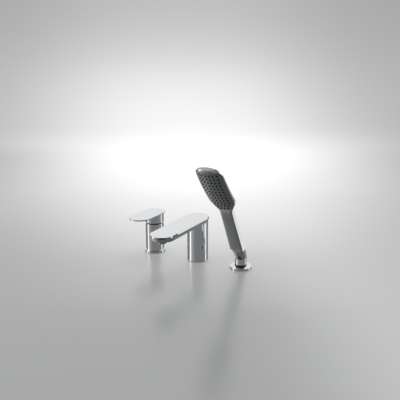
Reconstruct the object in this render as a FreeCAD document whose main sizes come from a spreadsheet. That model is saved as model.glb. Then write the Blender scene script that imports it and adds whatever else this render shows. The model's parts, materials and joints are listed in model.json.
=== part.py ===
import FreeCAD, Part
import Sketcher
import os
import re

# Deck-mounted bath mixer in three units on one deck: a single-lever mixer on the left, a flat spout in
# the middle and a hand shower in its holder on the right. Millimetres. The deck surface is z = 0, the
# spout column stands on the origin, +X runs along the row to the hand shower, -Y points to the bath.

doc = FreeCAD.newDocument("bath_mixer")
sheet = doc.addObject("Spreadsheet::Sheet", "sizes")
sheet_rows = []


def size(name, number):
    sheet_rows.append(name)
    cell = str(len(sheet_rows))
    sheet.set("A" + cell, name)
    sheet.set("B" + cell, str(number))
    sheet.setAlias("B" + cell, name)


# Places of the three units and the deck between them
size("mixer_x", -125)
size("holder_x", 116.4)
size("deck_gap", 30)
size("shank_drop", 60)
size("gasket_thickness", 1)

# Large hollow studs that go through the deck
size("shank_radius", 16.6)
size("shank_bore_radius", 14.4)
size("shank_top", 12)
size("pilot_length", 10)
size("pilot_step", 0.3)
size("shank_clearance", 0.05)
size("gasket_clearance", 0.15)
size("rubber_washer_radius", 25)
size("rubber_washer_thickness", 3)
size("washer_clearance", 0.4)
size("steel_washer_thickness", 2)
size("deck_nut_radius", 24)
size("deck_nut_height", 10)

# Mixer unit
size("mixer_gasket_radius", 25)
size("base_ring_radius", 26.1)
size("base_ring_top", 5.5)
size("base_ring_floor", 3)
size("base_ring_edge", 0.5)
size("mixer_radius", 23)
size("mixer_ring_clearance", 0.15)
size("mixer_shoulder", 75.5)
size("mixer_edge", 0.4)
size("neck_radius", 19.6)
size("neck_top", 79)
size("nut_thread_radius", 18.5)
size("cartridge_bore_radius", 17.65)
size("cartridge_floor", 50)
size("cartridge_roof", 75)
size("port_radius", 5)
size("port_depth", 10)
size("port_ring_radius", 8)
size("waterway_radius", 3.5)

# Ceramic cartridge
size("seal_outer_radius", 5.2)
size("seal_inner_radius", 3.6)
size("seal_height", 1)
size("cartridge_play", 0.15)
size("housing_radius", "=cartridge_bore_radius - cartridge_play")
size("housing_wall", 2.5)
size("housing_bore_radius", "=housing_radius - housing_wall")
size("housing_floor", 3)
size("housing_roof", 2)
size("housing_mouth_radius", 9.6)
size("disc_thickness", 4)
size("fixed_disc_play", 0.2)
size("fixed_disc_radius", "=housing_bore_radius - fixed_disc_play")
size("moving_disc_radius", 11)
size("mixing_recess_radius", 8.2)
size("mixing_recess_depth", 2)
size("carrier_radius", 10.5)
size("ball_socket_radius", 2.6)
size("turret_gap", 0.3)
size("turret_side_play", 0.3)
size("turret_radius", "=housing_bore_radius - turret_side_play")
size("turret_play", 0.05)
size("turret_neck_radius", 9.5)
size("turret_top", 80)
size("turret_slot_front", 7.2)
size("turret_slot_back", 7.6)
size("pivot_height", 73.5)
size("pivot_radius", 1.5)
size("pivot_length", 18)
size("pivot_press", 0.02)
size("pivot_play", 0.06)
size("ball_height", 64.5)
size("ball_radius", 2.45)
size("ball_neck_radius", 2)
size("stem_side", 8)
size("turret_slot_play", 0.3)
size("turret_slot_half_width", "=stem_side / 2 + turret_slot_play")
size("stem_foot", 70)
size("stem_top", 95)
size("nut_height", 5)
size("nut_bore_radius", 12)
size("nut_play", 0.05)
size("index_radius", 1.3)
size("index_play", 0.05)
size("index_height", 77)
size("index_depth", 0.7)
size("index_length", 2)
size("glide_clearance", 0.05)
size("glide_radius", 20.6)
size("glide_top", 78.3)

# Lever
size("lever_half_width", 26.5)
size("lever_reach", 61.8)
size("lever_under", 101.8)
size("lever_thickness", 3)
size("lever_edge", 0.4)
size("cap_radius", 23)
size("cap_bore_radius", 21.2)
size("cap_foot", 78.5)
size("cap_ceiling", 98)
size("relief_angle", 20)
size("relief_height", 75.95)
size("boss_radius", 9)
size("boss_foot", 86)
size("stem_hole_play", 0.05)
size("grub_radius", 2.5)
size("grub_play", 0.05)
size("grub_height", 92)
size("grub_end", 10)
size("plug_radius", 2.55)
size("plug_inner", 20.8)
size("plug_outer", 23.2)

# Spout unit
size("spout_radius", 25.3)
size("spout_wall", 3)
size("spout_bore_radius", "=spout_radius - spout_wall")
size("spout_gasket_radius", "=spout_radius - 0.8")
size("spout_bore_top", 72)
size("blade_foot", 97.7)
size("blade_band", 106.7)
size("blade_top", 110.2)
size("blade_flare", 2.4)
size("blade_half_width", "=spout_radius + blade_flare")
size("band_lean", 0.75)
size("blade_peak_half_width", "=blade_half_width - band_lean")
size("blade_reach", 157.1)
size("nose_slope", 3.4)
size("blade_under_reach", "=blade_reach - nose_slope")
size("riser_radius", 9)
size("channel_half_width", 17)
size("channel_floor", 103.2)
size("channel_height", 4)
size("channel_front", "=blade_reach + 6.9")
size("channel_back", 9)
size("outlet_thread_radius", 11)
size("outlet_play", 0.1)
size("outlet_thread_top", 102.2)
size("outlet_collar_radius", 11.5)
size("outlet_lip_radius", 8.5)
size("outlet_lip_height", 89.3)
size("outlet_bore_radius", 8.2)
size("outlet_mouth_radius", 7.4)
size("outlet_seat", 91)
size("insert_play", 0.1)
size("insert_radius", "=outlet_bore_radius - insert_play")
size("insert_height", 6)
size("insert_hole_radius", 0.8)
size("insert_ring_one", 3)
size("insert_ring_two", 5.9)
size("outlet_seal_bore_radius", 8.4)
size("spout_screw_height", 16)
size("spout_screw_inner", "=spout_radius - 5.7")
size("spout_screw_outer", "=spout_radius - 0.1")

# Diverter inside the spout column
size("divider_play", 0.3)
size("divider_radius", "=spout_bore_radius - divider_play")
size("divider_top", 70)
size("divider_port_top", 23)
size("divider_port_radius", 5)
size("inlet_y", 5)
size("shower_y", -9)
size("riser_y", 13)
size("divider_way_radius", 3.8)
size("valve_height", 44)
size("valve_inner_radius", 5.5)
size("valve_inner_start", -14)
size("valve_chamber_start", -4)
size("valve_chamber_radius", 8.5)
size("valve_chamber_end", 9)
size("valve_outer_end", 17)
size("gland_thread_radius", 7.05)
size("gland_play", 0.05)
size("gland_radius", "=gland_thread_radius - gland_play")
size("gland_outer", "=spout_radius + 3.2")
size("gland_window_radius", 7.4)
size("stem_radius", 2)
size("stem_play", 0.05)
size("valve_disc_radius", 7.2)
size("valve_disc_thickness", 5)
size("spring_radius", 3.6)
size("spring_wire_radius", 0.4)
size("spring_turns", 5)
size("knob_radius", 6)
size("knob_inner", "=gland_outer + 1")
size("knob_outer", "=knob_inner + 7.5")
size("stem_end", "=knob_inner + 4.5")
size("ring_low", 58)
size("ring_high", 66)
size("ring_groove_depth", 2.2)
size("ring_groove_radius", "=divider_radius - ring_groove_depth")
size("ring_groove_width", 2.6)
size("ring_minor_radius", 1.2)
size("ring_play", 0.05)
size("ring_major_radius", "=ring_groove_radius + ring_minor_radius + ring_play")

# Hand shower holder
size("holder_gasket_radius", 24.4)
size("holder_gasket_bore", 14)
size("flange_radius", 25.4)
size("flange_side_top", 5)
size("flange_top", 6.8)
size("foot_ring_radius", 14.3)
size("foot_ring_top", 9.8)
size("holder_shank_radius", 13.1)
size("holder_shank_bore", 10.2)
size("holder_shank_play", 0.1)
size("spigot_radius", 12)
size("spigot_play", 0.05)
size("spigot_top", 20)
size("post_radius", 13.6)
size("post_bore_radius", 10.7)
size("elbow_height", 27.5)
size("lean_angle", 29.83)
size("cup_radius", 15.2)
size("handset_lift", 31.5)
size("collar_height", 1.5)
size("collar_gap", 0.2)
size("cup_length", "=handset_lift - collar_height - collar_gap")
size("cup_bore_radius", 12.9)
size("liner_foot", 9.3)
size("liner_play", 0.05)
size("liner_radius", "=cup_bore_radius - liner_play")
size("liner_mouth_radius", 12)
size("liner_throat_radius", 10.8)
size("holder_washer_radius", 21)
size("holder_nut_radius", 20)

# Hand shower
size("cone_length", 20)
size("cone_play", 0.1)
size("inlet_thread_radius", 10.48)
size("inlet_thread_length", 8)
size("inlet_bore_radius", 5)
size("inlet_filter_radius", 7)
size("inlet_filter_thickness", 1.5)
size("swivel_radius", 9)
size("swivel_play", 0.05)
size("swivel_length", 11.8)
size("swivel_socket_depth", 12)
size("handle_floor", 14)
size("handle_foot_half", 16.3)
size("handle_foot_front", 10)
size("handle_foot_back", 9)
size("handle_waist_half", 14.9)
size("handle_waist_front", 7.2)
size("handle_waist_back", 6.7)
size("handle_length", 118)
size("handle_corner", 0.7)
size("handle_flare", 2)
size("handle_wall", 2)
size("head_half", 30.8)
size("head_edge_drop", 9)
size("head_top_depth", 9.9)
size("head_top_roll", 3.2)
size("head_roll_start", 48)
size("head_corner", 8)
size("head_corner_length", 12)
size("head_corner_play", 0.35)
size("head_top_rim", 1.9)
size("head_bulge", 4.5)
size("head_wall", 2.2)
size("head_centre_height", "=handle_length + 85.8")
size("head_centre_front", 28.35)
size("head_tilt", 10)
size("head_curl", 0.077)
size("face_rim", 0.9)
size("face_gap", 0.1)
size("face_thickness", 3)
size("mat_half", 24.5)
size("mat_thickness", 1.2)
size("chamber_wall", 1.3)
size("nozzle_radius", 1.8)
size("nozzle_bore_radius", 0.5)
size("nozzle_height", 1)
size("nozzle_gap", 0.05)
size("nozzle_pitch_across", 8.14)
size("nozzle_pitch_along", 10)
size("tube_radius", 3.2)
size("tube_bore_radius", 2.4)
size("tube_front", 1.8)
size("tube_top", "=handle_length + 21.2")
doc.recompute()

FUNCTIONS = ("cos", "sin", "tan")


def read(name):
    return float(sheet.get(name))


def bound(text):
    # Each word in the text that names a size is written as a reference to its cell
    words = re.split(r"([a-z][a-z_]*)", str(text))
    parts = []
    for word in words:
        if re.match(r"[a-z]", word) and word not in FUNCTIONS:
            parts.append("sizes." + word)
        else:
            parts.append(word)
    return "".join(parts)


def bind(thing, field, text):
    thing.setExpression(field, bound(text))


def place(thing, x="0", y="0", z="0"):
    bind(thing, "Placement.Base.x", x)
    bind(thing, "Placement.Base.y", y)
    bind(thing, "Placement.Base.z", z)


def lean(thing, x, y, z, angle):
    # Turns a piece about X so that its own z axis leans toward the bath
    thing.Placement = FreeCAD.Placement(
        FreeCAD.Vector(0, 0, 0), FreeCAD.Rotation(FreeCAD.Vector(1, 0, 0), 10))
    bind(thing, "Placement.Rotation.Angle", angle)
    place(thing, x, y, z)


def turned(label, corners):
    # A piece turned about its own z axis from a closed outline of radius and height pairs
    body = doc.addObject("PartDesign::Body", label)
    body.Label = label
    plane = [part for part in body.Origin.OriginFeatures if part.Role == "XZ_Plane"][0]
    sketch = body.newObject("Sketcher::SketchObject", label + "_outline")
    sketch.AttachmentSupport = [(plane, "")]
    sketch.MapMode = "FlatFace"
    count = len(corners)
    rough = [FreeCAD.Vector(10 + 0.3 * i, 2.0 * i, 0) for i in range(count)]
    for i in range(count):
        sketch.addGeometry(Part.LineSegment(rough[i], rough[(i + 1) % count]))
    for i in range(count):
        sketch.addConstraint(Sketcher.Constraint("Coincident", i, 2, (i + 1) % count, 1))
    for i in range(count):
        for kind, axis, text in (("DistanceX", -2, corners[i][0]), ("DistanceY", -1, corners[i][1])):
            if text == "0":
                sketch.addConstraint(Sketcher.Constraint("PointOnObject", i, 1, axis))
            else:
                number = sketch.addConstraint(Sketcher.Constraint(kind, -1, 1, i, 1, 1.0))
                bind(sketch, "Constraints[%d]" % number, text)
    turn = body.newObject("PartDesign::Revolution", label + "_turn")
    turn.Profile = sketch
    turn.ReferenceAxis = (sketch, ["V_Axis"])
    turn.Angle = 360
    sketch.Visibility = False
    return body


def stadium_sketch(body, name, half, reach, height):
    # Two half circles joined by straight sides: one on the axis, one a reach toward the bath
    plane = [part for part in body.Origin.OriginFeatures if part.Role == "XY_Plane"][0]
    sketch = body.newObject("Sketcher::SketchObject", name)
    sketch.AttachmentSupport = [(plane, "")]
    sketch.MapMode = "FlatFace"
    bind(sketch, "AttachmentOffset.Base.z", height)
    wide = read(half)
    far = -read(reach)
    up = FreeCAD.Vector(0, 0, 1)
    near = Part.Circle(FreeCAD.Vector(0, 0, 0), up, wide)
    tip = Part.Circle(FreeCAD.Vector(0, far, 0), up, wide)
    sketch.addGeometry(Part.ArcOfCircle(near, 0, 3.14159265))
    sketch.addGeometry(Part.LineSegment(FreeCAD.Vector(-wide, 0, 0), FreeCAD.Vector(-wide, far, 0)))
    sketch.addGeometry(Part.ArcOfCircle(tip, 3.14159265, 6.2831853))
    sketch.addGeometry(Part.LineSegment(FreeCAD.Vector(wide, far, 0), FreeCAD.Vector(wide, 0, 0)))
    for i in range(4):
        sketch.addConstraint(Sketcher.Constraint("Tangent", i, 2, (i + 1) % 4, 1))
    sketch.addConstraint(Sketcher.Constraint("Coincident", 0, 3, -1, 1))
    sketch.addConstraint(Sketcher.Constraint("PointOnObject", 2, 3, -2))
    number = sketch.addConstraint(Sketcher.Constraint("Radius", 0, wide))
    bind(sketch, "Constraints[%d]" % number, half)
    number = sketch.addConstraint(Sketcher.Constraint("Radius", 2, wide))
    bind(sketch, "Constraints[%d]" % number, half)
    number = sketch.addConstraint(Sketcher.Constraint("DistanceY", 2, 3, 0, 3, -far))
    bind(sketch, "Constraints[%d]" % number, reach)
    sketch.Visibility = False
    return sketch


def rod(name, radius, length, x="0", y="0", z="0", along="Z"):
    thing = doc.addObject("Part::Cylinder", name)
    bind(thing, "Radius", radius)
    bind(thing, "Height", length)
    if along == "Y":
        thing.Placement.Rotation = FreeCAD.Rotation(FreeCAD.Vector(1, 0, 0), -90)
    if along == "X":
        thing.Placement.Rotation = FreeCAD.Rotation(FreeCAD.Vector(0, 1, 0), 90)
    place(thing, x, y, z)
    return thing


def brick(name, length, width, height, x, y, z):
    thing = doc.addObject("Part::Box", name)
    bind(thing, "Length", length)
    bind(thing, "Width", width)
    bind(thing, "Height", height)
    place(thing, x, y, z)
    return thing


def ball(name, radius, z):
    thing = doc.addObject("Part::Sphere", name)
    bind(thing, "Radius", radius)
    place(thing, "0", "0", z)
    return thing


def join(label, things):
    thing = doc.addObject("Part::MultiFuse", label)
    thing.Label = label
    thing.Shapes = things
    return thing


def cut(label, base, tools):
    tool = tools[0]
    if len(tools) > 1:
        tool = join(label + "_openings", tools)
    thing = doc.addObject("Part::Cut", label)
    thing.Label = label
    thing.Base = base
    thing.Tool = tool
    return thing


def group(label, things):
    # Several like pieces kept as separate solids under one name
    thing = doc.addObject("Part::Compound", label)
    thing.Label = label
    thing.Links = things
    return thing


def ring(label, outer, inner, low, high):
    return turned(label, [(inner, low), (outer, low), (outer, high), (inner, high)])


pieces = []


def keep(thing, x="0", y="0", z="0"):
    place(thing, x, y, z)
    pieces.append(thing)


# Mixer foot and column
keep(ring("mixer_gasket", "mixer_gasket_radius", "shank_radius + gasket_clearance",
          "0", "gasket_thickness"), "mixer_x")
keep(turned("mixer_base_ring", [
    ("shank_radius + gasket_clearance", "gasket_thickness"),
    ("base_ring_radius", "gasket_thickness"),
    ("base_ring_radius", "base_ring_top - base_ring_edge"),
    ("base_ring_radius - base_ring_edge", "base_ring_top"),
    ("mixer_radius + mixer_ring_clearance", "base_ring_top"),
    ("mixer_radius + mixer_ring_clearance", "base_ring_floor"),
    ("shank_radius + gasket_clearance", "base_ring_floor")]), "mixer_x")

mixer_blank = turned("mixer_blank", [
    ("shank_radius + shank_clearance", "base_ring_floor"),
    ("mixer_radius", "base_ring_floor"),
    ("mixer_radius", "mixer_shoulder - mixer_edge"),
    ("mixer_radius - mixer_edge", "mixer_shoulder"),
    ("neck_radius", "mixer_shoulder"),
    ("neck_radius", "neck_top"),
    ("nut_thread_radius", "neck_top"),
    ("nut_thread_radius", "cartridge_roof - housing_roof"),
    ("cartridge_bore_radius", "cartridge_roof - housing_roof"),
    ("cartridge_bore_radius", "cartridge_floor"),
    ("0", "cartridge_floor"),
    ("0", "shank_top"),
    ("shank_radius + shank_clearance", "shank_top")])
PORT_ANGLES = (90, 210, 330)
mixer_ways = []
for angle in PORT_ANGLES:
    across = "port_ring_radius * cos(%d)" % angle
    along = "port_ring_radius * sin(%d)" % angle
    mixer_ways.append(rod("mixer_port_%d" % angle, "port_radius", "port_depth",
                          across, along, "shank_top"))
    mixer_ways.append(rod("mixer_way_%d" % angle, "waterway_radius", "cartridge_floor - shank_top",
                          across, along, "shank_top"))
mixer_ways.append(rod("index_hole", "index_radius + index_play", "index_depth + 1",
                      "0", "-neck_radius - 1", "index_height", "Y"))
keep(cut("mixer_body", mixer_blank, mixer_ways), "mixer_x")
keep(rod("index_plug", "index_radius", "index_length", "0", "0", "0", "Y"),
     "mixer_x", "index_depth - neck_radius - index_length", "index_height")
keep(cut("glide_ring",
         ring("glide_blank", "glide_radius", "neck_radius + glide_clearance", "mixer_shoulder", "glide_top"),
         [rod("glide_hole", "index_radius + index_play", "glide_radius",
              "0", "-glide_radius - 1", "index_height", "Y")]), "mixer_x")

# Cartridge: seals, housing, two ceramic discs, carrier, turret, pin and stem
seal_rings = []
for angle in PORT_ANGLES:
    seal = turned("seal_%d" % angle, [
        ("seal_inner_radius", "cartridge_floor"),
        ("seal_outer_radius", "cartridge_floor"),
        ("seal_outer_radius", "cartridge_floor + seal_height"),
        ("seal_inner_radius", "cartridge_floor + seal_height")])
    place(seal, "port_ring_radius * cos(%d)" % angle, "port_ring_radius * sin(%d)" % angle)
    seal_rings.append(seal)
keep(group("cartridge_seals", seal_rings), "mixer_x")

HOUSING_FOOT = "cartridge_floor + seal_height"
FIXED_FOOT = HOUSING_FOOT + " + housing_floor"
MOVING_FOOT = FIXED_FOOT + " + disc_thickness"
CARRIER_FOOT = MOVING_FOOT + " + disc_thickness"
TURRET_FOOT = CARRIER_FOOT + " + disc_thickness + turret_gap"
housing_blank = turned("housing_blank", [
    ("0", HOUSING_FOOT),
    ("housing_radius", HOUSING_FOOT),
    ("housing_radius", "cartridge_roof"),
    ("housing_mouth_radius", "cartridge_roof"),
    ("housing_mouth_radius", "cartridge_roof - housing_roof"),
    ("housing_bore_radius", "cartridge_roof - housing_roof"),
    ("housing_bore_radius", FIXED_FOOT),
    ("0", FIXED_FOOT)])
keep(cut("cartridge_housing", housing_blank, [
    rod("housing_way_%d" % angle, "waterway_radius", "housing_floor",
        "port_ring_radius * cos(%d)" % angle, "port_ring_radius * sin(%d)" % angle, HOUSING_FOOT)
    for angle in PORT_ANGLES]), "mixer_x")
keep(cut("cartridge_fixed_disc", rod("fixed_blank", "fixed_disc_radius", "disc_thickness"), [
    rod("fixed_way_%d" % angle, "waterway_radius", "disc_thickness",
        "port_ring_radius * cos(%d)" % angle, "port_ring_radius * sin(%d)" % angle)
    for angle in PORT_ANGLES]), "mixer_x", "0", FIXED_FOOT)
keep(turned("cartridge_moving_disc", [
    ("mixing_recess_radius", "0"),
    ("moving_disc_radius", "0"),
    ("moving_disc_radius", "disc_thickness"),
    ("0", "disc_thickness"),
    ("0", "mixing_recess_depth"),
    ("mixing_recess_radius", "mixing_recess_depth")]), "mixer_x", "0", MOVING_FOOT)
keep(ring("cartridge_disc_carrier", "carrier_radius", "ball_socket_radius", "0", "disc_thickness"),
     "mixer_x", "0", CARRIER_FOOT)
turret_blank = turned("turret_blank", [
    ("0", TURRET_FOOT),
    ("turret_radius", TURRET_FOOT),
    ("turret_radius", "cartridge_roof - housing_roof - turret_play"),
    ("turret_neck_radius", "cartridge_roof - housing_roof - turret_play"),
    ("turret_neck_radius", "turret_top"),
    ("0", "turret_top")])
keep(cut("cartridge_turret", turret_blank, [
    brick("turret_slot", "2 * turret_slot_half_width", "turret_slot_front + turret_slot_back",
          "turret_top", "-turret_slot_half_width", "-turret_slot_front", "cartridge_floor"),
    rod("turret_pin_hole", "pivot_radius + pivot_press", "2 * turret_radius",
        "-turret_radius", "0", "pivot_height", "X")]), "mixer_x")
keep(rod("cartridge_pin", "pivot_radius", "pivot_length", "0", "0", "0", "X"),
     "mixer_x - pivot_length / 2", "0", "pivot_height")
stem_blank = join("stem_blank", [
    brick("stem_square", "stem_side", "stem_side", "stem_top - stem_foot",
          "-stem_side / 2", "-stem_side / 2", "stem_foot"),
    rod("stem_neck", "ball_neck_radius", "stem_foot - ball_height", "0", "0", "ball_height"),
    ball("stem_ball", "ball_radius", "ball_height")])
keep(cut("cartridge_stem", stem_blank, [
    rod("stem_pin_hole", "pivot_radius + pivot_play", "2 * stem_side",
        "-stem_side", "0", "pivot_height", "X")]), "mixer_x")
keep(ring("cartridge_nut", "nut_thread_radius - nut_play", "nut_bore_radius",
          "cartridge_roof", "cartridge_roof + nut_height"), "mixer_x")

# Lever: thin flat plate on a round cap, with the square socket for the stem
plate = doc.addObject("PartDesign::Body", "lever_plate")
plate_sketch = stadium_sketch(plate, "lever_outline", "lever_half_width", "lever_reach", "lever_under")
plate_pad = plate.newObject("PartDesign::Pad", "lever_pad")
plate_pad.Profile = plate_sketch
bind(plate_pad, "Length", "lever_thickness")
doc.recompute()
plate_edges = plate.newObject("PartDesign::Chamfer", "lever_edges")
plate_edges.Base = (plate_pad, ["Face5", "Face6"])
bind(plate_edges, "Size", "lever_edge")
lever_blank = join("lever_blank", [
    plate,
    turned("lever_cap", [
        ("cap_bore_radius", "cap_foot"),
        ("cap_radius", "cap_foot"),
        ("cap_radius", "lever_under"),
        ("0", "lever_under"),
        ("0", "cap_ceiling"),
        ("cap_bore_radius", "cap_ceiling")]),
    rod("lever_boss", "boss_radius", "cap_ceiling - boss_foot", "0", "0", "boss_foot")])
relief = brick("lever_relief", "4 * cap_radius", "4 * cap_radius", "cap_radius", "0", "0", "0")
relief.Placement.Rotation = FreeCAD.Rotation(FreeCAD.Vector(1, 0, 0), 10)
bind(relief, "Placement.Rotation.Angle", "relief_angle")
place(relief, "-2 * cap_radius",
      "cap_radius * sin(relief_angle) - 2 * cap_radius * cos(relief_angle)",
      "relief_height - cap_radius * cos(relief_angle) - 2 * cap_radius * sin(relief_angle)")
keep(cut("lever", lever_blank, [
    relief,
    brick("lever_socket", "stem_side + 2 * stem_hole_play", "stem_side + 2 * stem_hole_play",
          "stem_top + stem_hole_play - boss_foot + 1", "-stem_side / 2 - stem_hole_play",
          "-stem_side / 2 - stem_hole_play", "boss_foot - 1"),
    rod("lever_screw_hole", "grub_radius + grub_play", "cap_radius + 2", "0", "0",
        "grub_height", "Y")]), "mixer_x")
keep(rod("lever_grub_screw", "grub_radius", "grub_end - stem_side / 2", "0", "0", "0", "Y"),
     "mixer_x", "stem_side / 2", "grub_height")
keep(rod("lever_screw_plug", "plug_radius - grub_play", "plug_outer - plug_inner", "0", "0", "0", "Y"),
     "mixer_x", "plug_inner", "grub_height")

# Spout: round column, flat blade widening upward, waterway inside, round outlet under the nose
blade = doc.addObject("PartDesign::Body", "blade")
blade_low = stadium_sketch(blade, "blade_low", "spout_radius", "blade_under_reach", "blade_foot")
blade_high = stadium_sketch(blade, "blade_high", "blade_half_width", "blade_reach", "blade_band")
blade_sides = blade.newObject("PartDesign::AdditiveLoft", "blade_sides")
blade_sides.Profile = blade_low
blade_sides.Sections = [blade_high]
blade_sides.Ruled = True
doc.recompute()
blade_edge = stadium_sketch(blade, "blade_edge", "blade_half_width", "blade_reach", "blade_band")
blade_peak = stadium_sketch(blade, "blade_peak", "blade_peak_half_width", "blade_reach", "blade_top")
blade_band = blade.newObject("PartDesign::AdditiveLoft", "blade_rim")
blade_band.Profile = blade_edge
blade_band.Sections = [blade_peak]
blade_band.Ruled = True
spout_blank = join("spout_blank", [
    blade,
    rod("spout_column", "spout_radius", "blade_foot - gasket_thickness", "0", "0", "gasket_thickness")])
keep(cut("spout_body", spout_blank, [
    rod("spout_bore", "spout_bore_radius", "spout_bore_top - gasket_thickness",
        "0", "0", "gasket_thickness"),
    rod("spout_riser", "riser_radius", "channel_floor + channel_height - spout_bore_top",
        "0", "0", "spout_bore_top"),
    brick("spout_channel", "2 * channel_half_width", "channel_front + channel_back", "channel_height",
          "-channel_half_width", "-channel_front", "channel_floor"),
    rod("outlet_thread", "outlet_thread_radius", "channel_floor - blade_foot",
        "0", "-blade_reach", "blade_foot"),
    rod("gland_window", "gland_window_radius", "spout_radius", "0", "valve_outer_end",
        "valve_height", "Y"),
    rod("spout_screw_hole", "grub_radius + grub_play", "spout_radius - spout_screw_inner + 1",
        "0", "spout_screw_inner", "spout_screw_height", "Y")]))
keep(ring("spout_gasket", "spout_gasket_radius", "shank_radius + gasket_clearance",
          "0", "gasket_thickness"))
keep(rod("spout_set_screw", "grub_radius", "spout_screw_outer - spout_screw_inner", "0", "0", "0", "Y"),
     "0", "spout_screw_inner", "spout_screw_height")
keep(turned("aerator_housing", [
    ("outlet_mouth_radius", "outlet_lip_height"),
    ("outlet_lip_radius", "outlet_lip_height"),
    ("outlet_collar_radius", "blade_foot"),
    ("outlet_thread_radius - outlet_play", "blade_foot"),
    ("outlet_thread_radius - outlet_play", "outlet_thread_top"),
    ("outlet_bore_radius", "outlet_thread_top"),
    ("outlet_bore_radius", "outlet_seat"),
    ("outlet_mouth_radius", "outlet_seat")]), "0", "-blade_reach")
insert_holes = [rod("insert_hole_mid", "insert_hole_radius", "insert_height", "0", "0", "outlet_seat")]
for i in range(6):
    insert_holes.append(rod("insert_hole_one_%d" % i, "insert_hole_radius", "insert_height",
                            "insert_ring_one * cos(%d)" % (60 * i),
                            "insert_ring_one * sin(%d)" % (60 * i), "outlet_seat"))
for i in range(12):
    insert_holes.append(rod("insert_hole_two_%d" % i, "insert_hole_radius", "insert_height",
                            "insert_ring_two * cos(%d)" % (30 * i),
                            "insert_ring_two * sin(%d)" % (30 * i), "outlet_seat"))
keep(cut("aerator_insert", rod("insert_blank", "insert_radius", "insert_height", "0", "0", "outlet_seat"),
         insert_holes), "0", "-blade_reach")
keep(ring("aerator_seal", "outlet_thread_radius - outlet_play", "outlet_seal_bore_radius",
          "outlet_thread_top", "channel_floor"), "0", "-blade_reach")

# Diverter block inside the column, with the cross valve worked by a pull knob at the back
divider_blank = turned("divider_blank", [
    ("shank_radius + shank_clearance", "gasket_thickness"),
    ("divider_radius", "gasket_thickness"),
    ("divider_radius", "ring_low - ring_groove_width / 2"),
    ("ring_groove_radius", "ring_low - ring_groove_width / 2"),
    ("ring_groove_radius", "ring_low + ring_groove_width / 2"),
    ("divider_radius", "ring_low + ring_groove_width / 2"),
    ("divider_radius", "ring_high - ring_groove_width / 2"),
    ("ring_groove_radius", "ring_high - ring_groove_width / 2"),
    ("ring_groove_radius", "ring_high + ring_groove_width / 2"),
    ("divider_radius", "ring_high + ring_groove_width / 2"),
    ("divider_radius", "divider_top"),
    ("0", "divider_top"),
    ("0", "shank_top"),
    ("shank_radius + shank_clearance", "shank_top")])
keep(cut("diverter_block", divider_blank, [
    rod("inlet_port", "divider_port_radius", "divider_port_top - shank_top", "0", "inlet_y", "shank_top"),
    rod("shower_port", "divider_port_radius", "divider_port_top - shank_top",
        "0", "shower_y", "shank_top"),
    rod("inlet_way", "divider_way_radius", "valve_height - shank_top", "0", "inlet_y", "shank_top"),
    rod("shower_way", "divider_way_radius", "valve_height - shank_top", "0", "shower_y", "shank_top"),
    rod("riser_way", "divider_way_radius", "divider_top - valve_height", "0", "riser_y", "valve_height"),
    rod("valve_inner", "valve_inner_radius", "valve_outer_end - valve_inner_start",
        "0", "valve_inner_start", "valve_height", "Y"),
    rod("valve_chamber", "valve_chamber_radius", "valve_chamber_end - valve_chamber_start",
        "0", "valve_chamber_start", "valve_height", "Y"),
    rod("gland_thread", "gland_thread_radius", "divider_radius - valve_outer_end + 1",
        "0", "valve_outer_end", "valve_height", "Y"),
    rod("divider_screw_hole", "grub_radius + grub_play", "divider_radius - spout_screw_inner + 1",
        "0", "spout_screw_inner", "spout_screw_height", "Y")]))
block_rings = []
for name, height in (("ring_one", "ring_low"), ("ring_two", "ring_high")):
    seal = doc.addObject("Part::Torus", name)
    bind(seal, "Radius1", "ring_major_radius")
    bind(seal, "Radius2", "ring_minor_radius")
    place(seal, "0", "0", height)
    block_rings.append(seal)
keep(group("diverter_block_seals", block_rings))
keep(rod("diverter_stem", "stem_radius", "stem_end - valve_chamber_start - 1", "0", "0", "0", "Y"),
     "0", "valve_chamber_start + 1", "valve_height")
keep(cut("diverter_disc",
         rod("disc_blank", "valve_disc_radius", "valve_disc_thickness", "0", "0", "0", "Y"),
         [rod("disc_hole", "stem_radius", "valve_disc_thickness", "0", "1", "0", "Y")]),
     "0", "valve_chamber_start", "valve_height")
keep(cut("diverter_gland",
         rod("gland_blank", "gland_radius", "gland_outer - valve_outer_end", "0", "0", "0", "Y"),
         [rod("gland_hole", "stem_radius + stem_play", "gland_outer", "0", "0", "0", "Y")]),
     "0", "valve_outer_end", "valve_height")
keep(cut("diverter_knob",
         rod("knob_blank", "knob_radius", "knob_outer - knob_inner", "0", "0", "0", "Y"),
         [rod("knob_hole", "stem_radius", "stem_end - knob_inner", "0", "0", "0", "Y")]),
     "0", "knob_inner", "valve_height")

# Return spring of the diverter: round wire wound round the stem
doc.recompute()
spring_gap = read("spring_wire_radius") + 0.3
spring_start = read("valve_chamber_start") + read("valve_disc_thickness") + spring_gap
spring_end = read("valve_outer_end") - spring_gap
spring_length = spring_end - spring_start
helix = Part.makeHelix(spring_length / read("spring_turns"), spring_length, read("spring_radius"))
wire_circle = Part.Wire(Part.makeCircle(read("spring_wire_radius"),
                                        FreeCAD.Vector(read("spring_radius"), 0, 0),
                                        FreeCAD.Vector(0, 1, 0)))
spring = doc.addObject("Part::Feature", "diverter_spring")
spring.Shape = Part.Wire(helix.Edges).makePipeShell([wire_circle], True, True)
spring.Placement = FreeCAD.Placement(FreeCAD.Vector(0, spring_start, read("valve_height")),
                                     FreeCAD.Rotation(FreeCAD.Vector(1, 0, 0), -90))
pieces.append(spring)

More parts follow.
